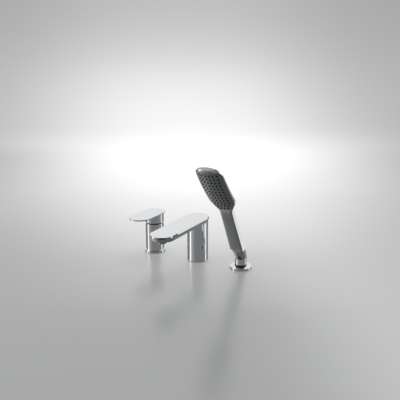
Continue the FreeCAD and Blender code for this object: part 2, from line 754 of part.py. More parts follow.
# Studs, washers and nuts below the deck
for name, x in (("mixer_shank", "mixer_x"), ("spout_shank", "0")):
    keep(turned(name, [
        ("shank_bore_radius", "-shank_drop"),
        ("shank_radius - pilot_step", "-shank_drop"),
        ("shank_radius - pilot_step", "pilot_length - shank_drop"),
        ("shank_radius", "pilot_length - shank_drop"),
        ("shank_radius", "shank_top"),
        ("shank_bore_radius", "shank_top")]), x)
rubber_rings = []
steel_rings = []
nut_rings = []
for name, x in (("mixer", "mixer_x"), ("spout", "0")):
    rubber = ring(name + "_rubber", "rubber_washer_radius", "shank_radius + washer_clearance",
                  "-deck_gap - rubber_washer_thickness", "-deck_gap")
    place(rubber, x)
    rubber_rings.append(rubber)
    steel = ring(name + "_steel", "rubber_washer_radius", "shank_radius + washer_clearance",
                 "-deck_gap - rubber_washer_thickness - steel_washer_thickness",
                 "-deck_gap - rubber_washer_thickness")
    place(steel, x)
    steel_rings.append(steel)
    prism = doc.addObject("Part::Prism", name + "_nut_blank")
    prism.Polygon = 6
    bind(prism, "Circumradius", "deck_nut_radius")
    bind(prism, "Height", "deck_nut_height")
    place(prism, x, "0",
          "-deck_gap - rubber_washer_thickness - steel_washer_thickness - deck_nut_height")
    hole = rod(name + "_nut_hole", "shank_radius + shank_clearance", "2 * deck_nut_height", x, "0",
               "-deck_gap - rubber_washer_thickness - steel_washer_thickness - 1.5 * deck_nut_height")
    nut_rings.append(cut(name + "_nut", prism, [hole]))
keep(group("deck_rubber_washers", rubber_rings))
keep(group("deck_steel_washers", steel_rings))
keep(group("deck_nuts", nut_rings))

# Holder for the hand shower
keep(ring("holder_gasket", "holder_gasket_radius", "holder_gasket_bore", "0", "gasket_thickness"),
     "holder_x")
keep(turned("holder_flange", [
    ("holder_shank_radius + holder_shank_play", "gasket_thickness"),
    ("flange_radius", "gasket_thickness"),
    ("flange_radius", "flange_side_top"),
    ("foot_ring_radius", "flange_top"),
    ("holder_shank_radius + holder_shank_play", "flange_top")]), "holder_x")
keep(ring("holder_foot_ring", "foot_ring_radius", "holder_shank_radius + holder_shank_play",
          "flange_top", "foot_ring_top"), "holder_x")
keep(turned("holder_shank", [
    ("holder_shank_bore", "-shank_drop"),
    ("holder_shank_radius - pilot_step", "-shank_drop"),
    ("holder_shank_radius - pilot_step", "pilot_length - shank_drop"),
    ("holder_shank_radius", "pilot_length - shank_drop"),
    ("holder_shank_radius", "foot_ring_top"),
    ("spigot_radius", "foot_ring_top"),
    ("spigot_radius", "spigot_top"),
    ("holder_shank_bore", "spigot_top")]), "holder_x")
cup = doc.addObject("Part::Cone", "cup")
bind(cup, "Radius1", "post_radius")
bind(cup, "Radius2", "cup_radius")
bind(cup, "Height", "cup_length")
lean(cup, "0", "0", "elbow_height", "lean_angle")
cup_throat = rod("cup_throat", "post_bore_radius", "cup_length")
lean(cup_throat, "0", "0", "elbow_height", "lean_angle")
cup_mouth = rod("cup_mouth", "cup_bore_radius", "cup_length")
lean(cup_mouth, "0", "-liner_foot * sin(lean_angle)", "elbow_height + liner_foot * cos(lean_angle)",
     "lean_angle")
keep(cut("holder_post", join("post_blank", [
    rod("post_tube", "post_radius", "elbow_height - foot_ring_top", "0", "0", "foot_ring_top"),
    ball("post_elbow", "post_radius", "elbow_height"),
    cup]), [
    rod("post_socket", "spigot_radius + spigot_play", "spigot_top - foot_ring_top + 0.3",
        "0", "0", "foot_ring_top"),
    rod("post_bore", "post_bore_radius", "elbow_height - foot_ring_top", "0", "0", "foot_ring_top"),
    ball("post_inside", "post_bore_radius", "elbow_height"),
    cup_throat,
    cup_mouth]), "holder_x")
liner = turned("holder_liner", [
    ("liner_throat_radius", "liner_foot"),
    ("liner_radius", "liner_foot"),
    ("liner_radius", "cup_length"),
    ("liner_mouth_radius", "cup_length")])
lean(liner, "holder_x", "0", "elbow_height", "lean_angle")
pieces.append(liner)
keep(ring("holder_rubber_washer", "holder_washer_radius", "holder_shank_radius + washer_clearance",
          "-deck_gap - rubber_washer_thickness", "-deck_gap"), "holder_x")
keep(ring("holder_steel_washer", "holder_washer_radius", "holder_shank_radius + washer_clearance",
          "-deck_gap - rubber_washer_thickness - steel_washer_thickness",
          "-deck_gap - rubber_washer_thickness"), "holder_x")
holder_prism = doc.addObject("Part::Prism", "holder_nut_blank")
holder_prism.Polygon = 6
bind(holder_prism, "Circumradius", "holder_nut_radius")
bind(holder_prism, "Height", "deck_nut_height")
keep(cut("holder_nut", holder_prism, [
    rod("holder_nut_hole", "holder_shank_radius + shank_clearance", "deck_nut_height")]),
    "holder_x", "0",
    "-deck_gap - rubber_washer_thickness - steel_washer_thickness - deck_nut_height")

# Hand shower, drawn upright in its own frame: z runs up the handle, -y is the front
HAND_Y = "-handset_lift * sin(lean_angle)"
HAND_Z = "elbow_height + handset_lift * cos(lean_angle)"
hand_cone = turned("handset_cone", [
    ("inlet_bore_radius", "inlet_filter_thickness - cone_length - inlet_thread_length"),
    ("inlet_filter_radius + cone_play", "inlet_filter_thickness - cone_length - inlet_thread_length"),
    ("inlet_filter_radius + cone_play", "-cone_length - inlet_thread_length"),
    ("inlet_thread_radius", "-cone_length - inlet_thread_length"),
    ("inlet_thread_radius", "-cone_length"),
    ("liner_throat_radius - cone_play", "-cone_length"),
    ("liner_mouth_radius - cone_play", "-collar_height"),
    ("cup_radius", "-collar_height"),
    ("cup_radius", "0"),
    ("swivel_radius", "0"),
    ("swivel_radius", "swivel_length"),
    ("inlet_bore_radius", "swivel_length")])
lean(hand_cone, "holder_x", HAND_Y, HAND_Z, "lean_angle")
pieces.append(hand_cone)
filter_disc = turned("inlet_filter", [
    ("0", "-cone_length - inlet_thread_length"),
    ("inlet_filter_radius", "-cone_length - inlet_thread_length"),
    ("inlet_filter_radius", "inlet_filter_thickness - cone_length - inlet_thread_length"),
    ("0", "inlet_filter_thickness - cone_length - inlet_thread_length")])
lean(filter_disc, "holder_x", HAND_Y, HAND_Z, "lean_angle")
pieces.append(filter_disc)
hand_tube = ring("handset_water_tube", "tube_radius", "tube_bore_radius",
                 "swivel_socket_depth + 0.2", "tube_top")
lean(hand_tube, "holder_x", HAND_Y + " - tube_front * cos(lean_angle)",
     HAND_Z + " - tube_front * sin(lean_angle)", "lean_angle")
pieces.append(hand_tube)
doc.recompute()


def slope_between(first, second, third):
    # Slope at the middle of three stations that never overshoots them
    before = (second[1] - first[1]) / (second[0] - first[0])
    after = (third[1] - second[1]) / (third[0] - second[0])
    if before * after <= 0:
        return 0.0
    return 2 * before * after / (before + after)


def between(stations, place_at):
    # Smooth value at a place in a list of place and value pairs
    if place_at <= stations[0][0]:
        return stations[0][1]
    if place_at >= stations[-1][0]:
        return stations[-1][1]
    i = 0
    while place_at > stations[i + 1][0]:
        i += 1
    low, high = stations[i], stations[i + 1]
    step = high[0] - low[0]
    plain = (high[1] - low[1]) / step
    leave = plain
    if i > 0:
        leave = slope_between(stations[i - 1], low, high)
    arrive = plain
    if i + 2 < len(stations):
        arrive = slope_between(low, high, stations[i + 2])
    t = (place_at - low[0]) / step
    return ((2 * t ** 3 - 3 * t ** 2 + 1) * low[1] + (t ** 3 - 2 * t ** 2 + t) * step * leave
            + (3 * t ** 2 - 2 * t ** 3) * high[1] + (t ** 3 - t ** 2) * step * arrive)


def even_places(low, high, step):
    count = int(round((high - low) / step))
    return [low + (high - low) * i / count for i in range(count + 1)]


def smooth_edge(points):
    curve = Part.BSplineCurve()
    count = len(points) - 1
    curve.interpolate(Points=points, Parameters=[i / float(count) for i in range(count + 1)])
    return curve.toShape()


def outline(height, half, front_at, back_at, flare=0):
    # One cross-section: curved front, curved back wider by the flare, straight sides
    steps = 12
    across = [2.0 * i / steps - 1 for i in range(steps + 1)]
    front = [FreeCAD.Vector(half * share, -front_at(half * share), height) for share in across]
    back = [FreeCAD.Vector((half + flare) * share, -back_at(half * share), height)
            for share in reversed(across)]
    return Part.Wire([
        smooth_edge(front),
        Part.makeLine(front[-1], back[0]),
        smooth_edge(back),
        Part.makeLine(back[-1], front[0])])


# Handle and shoulder: height, half width, front, front corner, its sharpness, back, back corner
hl = read("handle_length")
hw = read("handle_waist_half")
hf = read("handle_waist_front")
hb = read("handle_waist_back")
hc = read("handle_corner")
HANDLE = [
    (0, read("handle_foot_half"), read("handle_foot_front"), hc, 8, read("handle_foot_back"), 5.0),
    (hl * 0.38, (hw + read("handle_foot_half")) / 2 + 0.05, (hf + read("handle_foot_front")) / 2 + 0.35,
     hc, 8, (hb + read("handle_foot_back")) / 2 - 0.1, 5.0),
    (hl * 0.76, hw + 0.1, hf + 0.7, hc, 8, hb - 0.2, 5.0),
    (hl, hw, hf, hc, 8, hb, 5.0),
    (hl + 6, hw + 0.7, hf + 0.3, hc + 0.4, 7, hb, 4.8),
    (hl + 14, hw + 3.7, hf + 1.4, hc + 1.2, 5, hb - 0.6, 4.2),
    (hl + 20, hw + 6.5, hf + 2.6, hc + 2.0, 4, hb - 1.7, 3.5),
    (hl + 27, hw + 9.3, hf + 4.3, hc + 3.8, 3, hb - 3.3, 3.0),
    (hl + 34, hw + 10.6, hf + 5.2, hc + 4.8, 2.7, hb - 6.6, 2.6)]


def handle_loft(inset, low, high, flare=0):
    # The handle outline drawn in by a wall thickness between two heights; the sides of the grip
    # lean outward to the back by the flare, which fades out below the head
    rows = []
    for height in even_places(low, high, 4):
        row = [between([(item[0], item[k]) for item in HANDLE], height) for k in range(1, 7)]
        half, front, drop, power, back, corner = row
        half -= inset
        front -= inset
        back -= inset
        fade = between([(0, 1.0), (hl * 0.5, 1.0), (hl, 0.9), (hl + 12, 0.4), (hl + 24, 0.0)], height)
        rows.append(outline(
            height, half,
            lambda u, f=front, d=drop, p=power, w=half: f - d * abs(u / w) ** p,
            lambda u, b=back, c=corner, w=half: c * abs(u / w) ** 3 - b,
            flare * fade))
    return Part.makeLoft(rows, True, False, False, 8)


# Head: place along the face, share of the full half width, depth behind the crown, bulge of the back
HEAD = [
    (-71.6, 0.503, 16.0, 1.5),
    (-69.5, 0.604, 15.9, 1.7),
    (-66.5, 0.692, 15.7, 2.1),
    (-63.3, 0.773, 15.5, 2.5),
    (-60.0, 0.831, 15.2, 3.0),
    (-55.0, 0.909, 14.8, 3.6),
    (-49.5, 0.971, 14.5, 4.0),
    (-43.0, 0.997, 14.1, 4.4),
    (-20.0, 1.000, 13.2, 4.5),
    (10.0, 1.000, 12.3, 4.4),
    (35.0, 0.990, 11.8, 4.2),
    (42.0, 0.975, 11.3, 4.1),
    (47.0, 0.945, 10.9, 4.0),
    (51.0, 0.895, 10.5, 3.8),
    (54.5, 0.820, 10.2, 3.6),
    (57.0, 0.730, 10.0, 3.4),
    (59.3, 0.610, 9.9, 3.2)]


def crown(along):
    # Height and forward offset of the crown line of the face, a gentle bow
    steps = 60
    height = read("head_centre_height")
    front = read("head_centre_front")
    for i in range(steps):
        middle = along * (i + 0.5) / steps
        tilt = FreeCAD.Units.Quantity("%f deg" % (read("head_tilt") - read("head_curl") * middle))
        tilt = tilt.getValueAs("rad").Value
        height += along / steps * (1 - tilt * tilt / 2)
        front += along / steps * (tilt - tilt ** 3 / 6)
    return height, front


def top_roll(along):
    # How far the front falls away from the crown line near the top edge
    start = read("head_roll_start")
    if along <= start:
        return 0.0
    return read("head_top_roll") * ((along - start) / (HEAD[-1][0] - start)) ** 2.5


def face_half(full, along, play=0):
    # Half width of the pocket for the face, with its two top corners rounded off
    length = read("head_corner_length")
    past = (along - (HEAD[-1][0] - read("head_top_rim") - length)) / length
    past = max(0.0, past)
    return full - read("face_rim") - read("head_corner") * past ** 3 - play * past ** 1.5


def head_loft(low, high, width, front_shift, back_shift):
    # A slab of the head: width gives its half width from the full one; shifts are measured
    # backward from the crown surface and forward from the back surface
    rows = []
    for along in even_places(low, high, 4.4):
        share = between([(row[0], row[1]) for row in HEAD], along)
        depth = between([(row[0], row[2]) for row in HEAD], along)
        depth += read("head_top_depth") - HEAD[-1][2]
        bulge = between([(row[0], row[3]) for row in HEAD], along) * read("head_bulge") / 4.5
        full = share * read("head_half")
        drop = read("head_edge_drop") * share ** 1.5
        height, front = crown(along)
        half = width(full, along)
        roll = top_roll(along)
        front_at = lambda u, f=front - roll, d=drop, w=full: f - front_shift - d * abs(u / w) ** 2.2
        if back_shift is None:
            back_at = lambda u, g=front_at: g(u) - read("face_thickness")
        elif back_shift < 0:
            back_at = lambda u, g=front_at: g(u) + back_shift
        else:
            back_at = lambda u, f=front, t=depth, b=bulge, w=full: (
                f - t - b + b * abs(u / w) ** 2.2 + back_shift)
        rows.append(outline(height, half, front_at, back_at))
    return Part.makeLoft(rows, True, False, False, 8)


top_rim = read("head_top_rim")
face_depth = read("face_thickness")
face_gap = read("face_gap")
mat_depth = face_depth + face_gap + read("mat_thickness")
mat_half = read("mat_half")
foot = HEAD[0][0]
top = HEAD[-1][0]
head_solid = head_loft(foot, top, lambda w, v: w, 0, 0)
handle_solid = handle_loft(0, 0, HANDLE[-1][0], read("handle_flare"))
print("handset outer", head_solid.isValid(), handle_solid.isValid())
shell_shape = head_solid.fuse(handle_solid)
face_pocket = head_loft(foot + 1.2, top - top_rim, face_half, -2,
                        -(face_depth + 2 + face_gap))
head_hollow = head_loft(foot + 3.4, top - 8, lambda w, v: min(mat_half, 0.8 * w) + 0.1,
                        face_depth - 0.2, read("head_wall"))
handle_hollow = handle_loft(read("handle_wall"), read("handle_floor"), hl + 31)
socket = Part.makeCylinder(read("swivel_radius") + read("swivel_play"), read("swivel_socket_depth"))
tube_hole = Part.makeCylinder(read("tube_radius") + 0.05, 10,
                              FreeCAD.Vector(0, -read("tube_front"), read("swivel_socket_depth") - 1))
shell_shape = shell_shape.cut(face_pocket)
shell_shape = shell_shape.cut(head_hollow)
shell_shape = shell_shape.cut(handle_hollow)
shell_shape = shell_shape.cut(socket)
shell_shape = shell_shape.cut(tube_hole)
print("handset shell", shell_shape.isValid(), len(shell_shape.Solids), shell_shape.Volume)

# Nozzle places on the face, six across in ten rows, then five and four
nozzle_places = []
for row in range(12):
    count = 6
    if row == 10:
        count = 5
    if row == 11:
        count = 4
    for column in range(count):
        nozzle_places.append((
            (column - (count - 1) / 2.0) * read("nozzle_pitch_across"),
            (4.5 - row) * read("nozzle_pitch_along")))


def nozzle_rods(radius, back, front):
    # Round rods standing square on the face at every nozzle place
    rods = []
    for across, along in nozzle_places:
        share = between([(item[0], item[1]) for item in HEAD], along)
        full = share * read("head_half")
        drop = read("head_edge_drop") * share ** 1.5
        height, ahead = crown(along)
        ahead -= drop * abs(across / full) ** 2.2
        tilt = (read("head_tilt") - read("head_curl") * along) * 0.0174532925
        slope = 2.2 * drop * abs(across / full) ** 1.2 / full
        if across < 0:
            slope = -slope
        out = FreeCAD.Vector(slope, -1, -tilt)
        out.normalize()
        base = FreeCAD.Vector(across, -ahead, height) - out * back
        rods.append(Part.makeCylinder(radius, back + front, base, out))
    return rods


face_shape = head_loft(foot + 1.2 + face_gap, top - top_rim - face_gap,
                       lambda w, v: face_half(w, v, read("head_corner_play")) - face_gap,
                       0, None)
face_shape = face_shape.cut(Part.makeCompound(
    nozzle_rods(read("nozzle_radius") + read("nozzle_gap"), face_depth + 3, 3)))
mat_shape = head_loft(foot + 3.6, top - 8.3, lambda w, v: min(mat_half, 0.8 * w),
                      face_depth + face_gap, -read("mat_thickness"))
mat_shape = mat_shape.fuse(nozzle_rods(read("nozzle_radius"), face_depth + 0.6, read("nozzle_height")))
mat_shape = mat_shape.cut(Part.makeCompound(
    nozzle_rods(read("nozzle_bore_radius"), mat_depth + 2, read("nozzle_height") + 2)))
chamber_shape = head_loft(foot + 4.6, top - 9.5, lambda w, v: min(mat_half, 0.8 * w) - 1.5,
                          mat_depth + face_gap, read("head_wall") + 0.3)
chamber_inside = head_loft(foot + 4.6 + read("chamber_wall"), top - 9.5 - read("chamber_wall"),
                           lambda w, v: min(mat_half, 0.8 * w) - 1.5 - read("chamber_wall"),
                           mat_depth - 1, read("head_wall") + 0.3 + read("chamber_wall"))
chamber_shape = chamber_shape.cut(chamber_inside)
chamber_shape = chamber_shape.cut(Part.makeCylinder(
    read("tube_radius") + 0.05, 10, FreeCAD.Vector(0, -read("tube_front"), read("tube_top") - 8)))
for label, shape in (("handset_shell", shell_shape), ("spray_face", face_shape),
                     ("spray_nozzles", mat_shape), ("spray_chamber", chamber_shape)):
    thing = doc.addObject("Part::Feature", label)
    thing.Label = label
    thing.Shape = shape
    lean(thing, "holder_x", HAND_Y, HAND_Z, "lean_angle")
    pieces.append(thing)

doc.recompute()

# Every piece is whole and sound before it is written out
broken = []
for thing in doc.Objects:
    if "Invalid" in thing.State or "Error" in thing.State:
        broken.append(thing.Label)
for thing in pieces:
    if thing.Shape.isNull() or not thing.Shape.isValid() or not thing.Shape.Solids:
        broken.append(thing.Label)
if broken:
    raise RuntimeError("pieces not sound: " + ", ".join(sorted(set(broken))))
os.makedirs("parts", exist_ok=True)
for thing in pieces:
    thing.Shape.exportStep("parts/" + thing.Label + ".step")
    box = thing.Shape.BoundBox
    print(thing.Label, len(thing.Shape.Solids), round(thing.Shape.Volume),
          [round(v, 2) for v in (box.XMin, box.XMax, box.YMin, box.YMax, box.ZMin, box.ZMax)])
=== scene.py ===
import json
import math
import bpy
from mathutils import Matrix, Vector

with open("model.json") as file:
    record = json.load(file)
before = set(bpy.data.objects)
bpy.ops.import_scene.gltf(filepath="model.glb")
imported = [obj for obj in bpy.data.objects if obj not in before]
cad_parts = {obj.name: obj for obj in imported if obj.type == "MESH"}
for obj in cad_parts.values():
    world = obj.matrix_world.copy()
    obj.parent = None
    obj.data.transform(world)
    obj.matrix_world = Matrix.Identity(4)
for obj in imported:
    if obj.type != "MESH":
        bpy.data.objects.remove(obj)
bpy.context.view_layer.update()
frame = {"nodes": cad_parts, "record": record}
nodes = frame["nodes"]
scene = bpy.context.scene
print("frame loaded, pieces:", len(nodes))


def linearColour(hexText):
    # sRGB hex text to the linear colour that Blender's sockets take
    values = [int(hexText[i:i + 2], 16) / 255 for i in (1, 3, 5)]
    values = [v / 12.92 if v <= 0.04045 else ((v + 0.055) / 1.055) ** 2.4 for v in values]
    return (*values, 1.0)


def addNode(tree, kind, settings=None, links=None):
    # One node with its settings and what feeds it; socket values go by name or number
    node = tree.nodes.new(kind)
    for name, value in (settings or {}).items():
        if isinstance(name, int) or name in node.inputs:
            node.inputs[name].default_value = value
        else:
            setattr(node, name, value)
    for name, source in (links or {}).items():
        tree.links.new(source, node.inputs[name])
    return node


def addThing(name, data):
    thing = bpy.data.objects.new(name, data)
    scene.collection.objects.link(thing)
    return thing


def newMaterial(name):
    material = bpy.data.materials.new(name)
    material.use_nodes = True
    tree = material.node_tree
    tree.nodes.clear()
    return material, tree


def closeMaterial(tree, shader):
    addNode(tree, "ShaderNodeOutputMaterial", links={"Surface": shader.outputs[0]})


def millimetres(tree):
    # The piece's own coordinates, metres turned to millimetres so that pattern sizes read directly
    place = addNode(tree, "ShaderNodeTexCoord")
    scaled = addNode(tree, "ShaderNodeVectorMath", {"operation": "SCALE", "Scale": 1000},
                     {0: place.outputs["Object"]})
    return scaled.outputs[0]


def addRelief(tree, place, sizeMm, strength, depth, detail=2.0):
    # Shallow relief with features of the given size; depth is in metres
    noise = addNode(tree, "ShaderNodeTexNoise", {"Scale": 1 / sizeMm, "Detail": detail},
                    {"Vector": place})
    bump = addNode(tree, "ShaderNodeBump", {"Strength": strength, "Distance": depth},
                   {"Height": noise.outputs["Fac"]})
    return bump.outputs[0]


# Bright chrome plate over polished brass: a hard mirror, with only the faintest haze from the
# buffing wheel and a slow waviness that keeps long reflections from being ruler-straight
chrome = {"colour": "#dfe1e3", "roughness": 0.035,
          "hazeMm": 6.0, "haze": 0.02, "hazeFrom": 0.3, "hazeTo": 0.7,
          "waveMm": 38.0, "wave": 0.02, "waveDepth": 0.001}


def makeChrome():
    material, tree = newMaterial("platedChromeBuffed")
    place = millimetres(tree)
    haze = addNode(tree, "ShaderNodeTexNoise", {"Scale": 1 / chrome["hazeMm"], "Detail": 4.0},
                   {"Vector": place})
    rough = addNode(tree, "ShaderNodeMapRange",
                    {"From Min": chrome["hazeFrom"], "From Max": chrome["hazeTo"],
                     "To Min": chrome["roughness"], "To Max": chrome["roughness"] + chrome["haze"]},
                    {"Value": haze.outputs["Fac"]})
    wave = addRelief(tree, place, chrome["waveMm"], chrome["wave"], chrome["waveDepth"], detail=1.0)
    shader = addNode(tree, "ShaderNodeBsdfPrincipled",
                     {"Base Color": linearColour(chrome["colour"]), "Metallic": 1.0},
                     {"Roughness": rough.outputs[0], "Normal": wave})
    closeMaterial(tree, shader)
    return material


# The other finishes share one recipe: a base colour that drifts between two shades, a fine grain
# and one roughness. Sizes are in millimetres, the depth of the grain in metres
finishes = {
    # Moulded ABS of the spray plate under a grey metallic satin lacquer: soft wide highlights
    "mouldedAbsGreyLacquer": {"colours": ("#aeb0b2", "#a2a4a6"), "metal": 0.85, "rough": 0.38,
                              "driftMm": 14.0, "driftDetail": 2.0,
                              "grainMm": 0.5, "grain": 0.05, "grainDepth": 0.0001},
    # Moulded silicone of nozzles and seals: deep black with a dull, rubbery shine
    "mouldedSiliconeBlack": {"colours": ("#161617", "#1d1d1e"), "metal": 0.0, "rough": 0.42,
                             "driftMm": 8.0, "driftDetail": 3.0,
                             "grainMm": 0.35, "grain": 0.10, "grainDepth": 0.0002},
    # Moulded acetal in black: smoother than the silicone, with a slightly waxy highlight
    "mouldedAcetalBlack": {"colours": ("#141415", "#1b1b1c"), "metal": 0.0, "rough": 0.35,
                           "driftMm": 10.0, "driftDetail": 3.0,
                           "grainMm": 0.3, "grain": 0.08, "grainDepth": 0.0002},
    # Moulded acetal in natural white: milky, never quite pure white
    "mouldedAcetalWhite": {"colours": ("#dcdbd4", "#cfcec6"), "metal": 0.0, "rough": 0.38,
                           "driftMm": 12.0, "driftDetail": 3.0,
                           "grainMm": 0.4, "grain": 0.06, "grainDepth": 0.0002},
    # Fired alumina lapped flat: pale, even and almost glossy
    "lappedAluminaCeramic": {"colours": ("#efeee9", "#e4e3dd"), "metal": 0.0, "rough": 0.12,
                             "driftMm": 9.0, "driftDetail": 3.0,
                             "grainMm": 0.2, "grain": 0.02, "grainDepth": 0.0002},
    # Turned brass: warm yellow, its shine broken up by a fine grain
    "turnedBrass": {"colours": ("#c9a35a", "#b8904a"), "metal": 1.0, "rough": 0.3,
                    "driftMm": 15.0, "driftDetail": 3.0,
                    "grainMm": 0.4, "grain": 0.12, "grainDepth": 0.0002},
    # Rolled stainless steel: cool grey with a soft, spread-out highlight
    "rolledStainlessSteel": {"colours": ("#b9bbbc", "#a6a8aa"), "metal": 1.0, "rough": 0.33,
                             "driftMm": 10.0, "driftDetail": 3.0,
                             "grainMm": 0.3, "grain": 0.12, "grainDepth": 0.0002},
}


def makeFinish(name):
    look = finishes[name]
    material, tree = newMaterial(name)
    place = millimetres(tree)
    drift = addNode(tree, "ShaderNodeTexNoise",
                    {"Scale": 1 / look["driftMm"], "Detail": look["driftDetail"]}, {"Vector": place})
    first, second = look["colours"]
    colour = addNode(tree, "ShaderNodeMix",
                     {"data_type": "RGBA", 6: linearColour(first), 7: linearColour(second)},
                     {0: drift.outputs["Fac"]})
    grain = addRelief(tree, place, look["grainMm"], look["grain"], look["grainDepth"])
    shader = addNode(tree, "ShaderNodeBsdfPrincipled",
                     {"Metallic": look["metal"], "Roughness": look["rough"]},
                     {"Base Color": colour.outputs[2], "Normal": grain})
    closeMaterial(tree, shader)
    return material


materials = {
    "polished_chrome": makeChrome(),
    "spray_plate": makeFinish("mouldedAbsGreyLacquer"),
    "black_rubber": makeFinish("mouldedSiliconeBlack"),
    "black_plastic": makeFinish("mouldedAcetalBlack"),
    "white_plastic": makeFinish("mouldedAcetalWhite"),
    "ceramic": makeFinish("lappedAluminaCeramic"),
    "brass": makeFinish("turnedBrass"),
    "steel": makeFinish("rolledStainlessSteel"),
}
for part in frame["record"]["subparts"]:
    for slot in nodes[part["node"]].material_slots:
        slot.material = materials[part["material_slot"]]
print("materials assigned")

# The deck hides these from every reflection, so they are kept out of the mirror-bright plate
underDeck = ("mixer_shank", "spout_shank", "holder_shank", "deck_rubber_washers", "deck_steel_washers",
             "deck_nuts", "holder_rubber_washer", "holder_steel_washer", "holder_nut")
for name in underDeck:
    nodes[name].visible_glossy = False

# Plated edges are never knife sharp: a narrow rounding that catches the light
edge = {"width": 0.00035, "segments": 2, "turnDegrees": 40}
plated = ("lever", "spout_body", "mixer_body", "mixer_base_ring", "holder_flange", "diverter_knob")
for name in plated:
    rounding = nodes[name].modifiers.new("softEdge", "BEVEL")
    rounding.width = edge["width"]
    rounding.segments = edge["segments"]
    rounding.limit_method = "ANGLE"
    rounding.angle_limit = math.radians(edge["turnDegrees"])
    rounding.harden_normals = True
print("edges rounded:", len(plated))

# Camera at the photograph's angle: 50 mm lens, 15 degrees down, 29.1 degrees round to the right
view = {"lens": 49.95, "sensor": 36, "pitch": 15.0, "round": 29.1,
        "place": (0.62907, -1.11857, 0.49384)}
camera = addThing("camera", bpy.data.cameras.new("camera"))
camera.data.lens = view["lens"]
camera.data.sensor_width = view["sensor"]
camera.location = view["place"]
camera.rotation_euler = (math.radians(90 - view["pitch"]), 0, math.radians(view["round"]))
scene.camera = camera


def addTurned(tree, source, degrees):
    # X, Y and Z of a place or direction after a turn about the upright axis
    place = addNode(tree, "ShaderNodeTexCoord")
    turn = addNode(tree, "ShaderNodeVectorRotate",
                   {"rotation_type": "Z_AXIS", "Angle": math.radians(degrees)},
                   {"Vector": place.outputs[source]})
    return addNode(tree, "ShaderNodeSeparateXYZ", links={0: turn.outputs[0]}).outputs


def addCurve(tree, pairs, source):
    # A smooth curve through given pairs; the span of the pairs is brought to 0..1 first
    low, high = pairs[0][0], pairs[-1][0]
    even = addNode(tree, "ShaderNodeMapRange", {"From Min": low, "From Max": high}, {"Value": source})
    curve = addNode(tree, "ShaderNodeFloatCurve", links={"Value": even.outputs[0]})
    line = curve.mapping.curves[0]
    line.points[0].location = (0, pairs[0][1])
    line.points[1].location = (1, pairs[-1][1])
    for along, value in pairs[1:-1]:
        line.points.new((along - low) / (high - low), value)
    curve.mapping.update()
    return curve.outputs[0]


def addProduct(tree, factors):
    product = factors[0]
    for factor in factors[1:]:
        product = addNode(tree, "ShaderNodeMath", {"operation": "MULTIPLY"},
                          {0: product, 1: factor}).outputs[0]
    return product


def addBell(tree, offset, fall=1.0):
    # 1 in the middle and falling softly to 0 both ways; the offset is given in widths, and a
    # larger fall makes the top flatter and the sides steeper
    squared = addProduct(tree, [offset, offset])
    shaped = addNode(tree, "ShaderNodeMath", {"operation": "POWER", 1: fall}, {0: squared})
    minus = addNode(tree, "ShaderNodeMath", {"operation": "MULTIPLY", 1: -1.0}, {0: shaped.outputs[0]})
    return addNode(tree, "ShaderNodeMath", {"operation": "EXPONENT"}, {0: minus.outputs[0]}).outputs[0]


def addSoftSteps(tree, steps, parts):
    # Each step is (axis, where it starts, where it ends, value before it, value after it)
    made = {}
    for name, (axis, start, end, before, after) in steps.items():
        step = addNode(tree, "ShaderNodeMapRange",
                       {"interpolation_type": "SMOOTHSTEP", "From Min": start, "From Max": end,
                        "To Min": before, "To Max": after}, {"Value": parts[axis]})
        made[name] = step.outputs[0]
    return made


# Glow of the sweep as the camera sees it: a base all across, a pool of light in the middle, and a
# small lift in front on the right. Base and pool are pairs of metres behind the spout and added
# brightness, and width says how wide the pool is there; its middle moves left further back
glow = {"colour": "#fdfdfe",
        "base": ((-0.5, 0.085), (-0.15, 0.075), (0.1, 0.064), (0.4, 0.062), (0.6, 0.073), (0.8, 0.103),
                 (1.06, 0.165), (1.42, 0.235), (1.6, 0.25), (1.77, 0.3), (1.91, 0.334), (2.17, 0.365),
                 (2.38, 0.36), (2.5, 0.33)),
        "pool": ((-0.5, 0.0), (-0.32, 0.02), (-0.233, 0.07), (-0.007, 0.18), (0.142, 0.29), (0.327, 0.39),
                 (0.56, 0.49), (0.8, 0.62), (1.42, 0.74), (1.77, 0.6), (1.91, 0.5), (2.17, 0.425),
                 (2.29, 0.36), (2.38, 0.26), (2.5, 0.12)),
        "width": ((-0.5, 0.26), (0.1, 0.4), (0.33, 0.49), (0.8, 0.68), (1.42, 0.79), (1.77, 0.92),
                  (1.91, 0.89), (2.17, 0.88), (2.5, 0.9)),
        "fall": 1.25,
        "steps": {"middle": ("Y", 1.3, 2.5, 0.02, -0.13),
                  "right": ("X", 0.08, 0.36, 0.0, 0.145), "front": ("Y", 0.7, -0.5, 0.0, 1.0)}}


def makeGlow(tree, parts):
    side, away = parts["X"], parts["Y"]
    steps = addSoftSteps(tree, glow["steps"], parts)
    offset = addNode(tree, "ShaderNodeMath", {"operation": "SUBTRACT"}, {0: side, 1: steps["middle"]})
    widths = addNode(tree, "ShaderNodeMath", {"operation": "DIVIDE"},
                     {0: offset.outputs[0], 1: addCurve(tree, glow["width"], away)})
    bell = addBell(tree, widths.outputs[0], glow["fall"])
    pool = addProduct(tree, [addCurve(tree, glow["pool"], away), bell])
    lift = addProduct(tree, [steps["right"], steps["front"]])
    total = addCurve(tree, glow["base"], away)
    for layer in (pool, lift):
        total = addNode(tree, "ShaderNodeMath", {"operation": "ADD"}, {0: total, 1: layer}).outputs[0]
    path = addNode(tree, "ShaderNodeLightPath")
    return addProduct(tree, [total, path.outputs["Is Camera Ray"]])


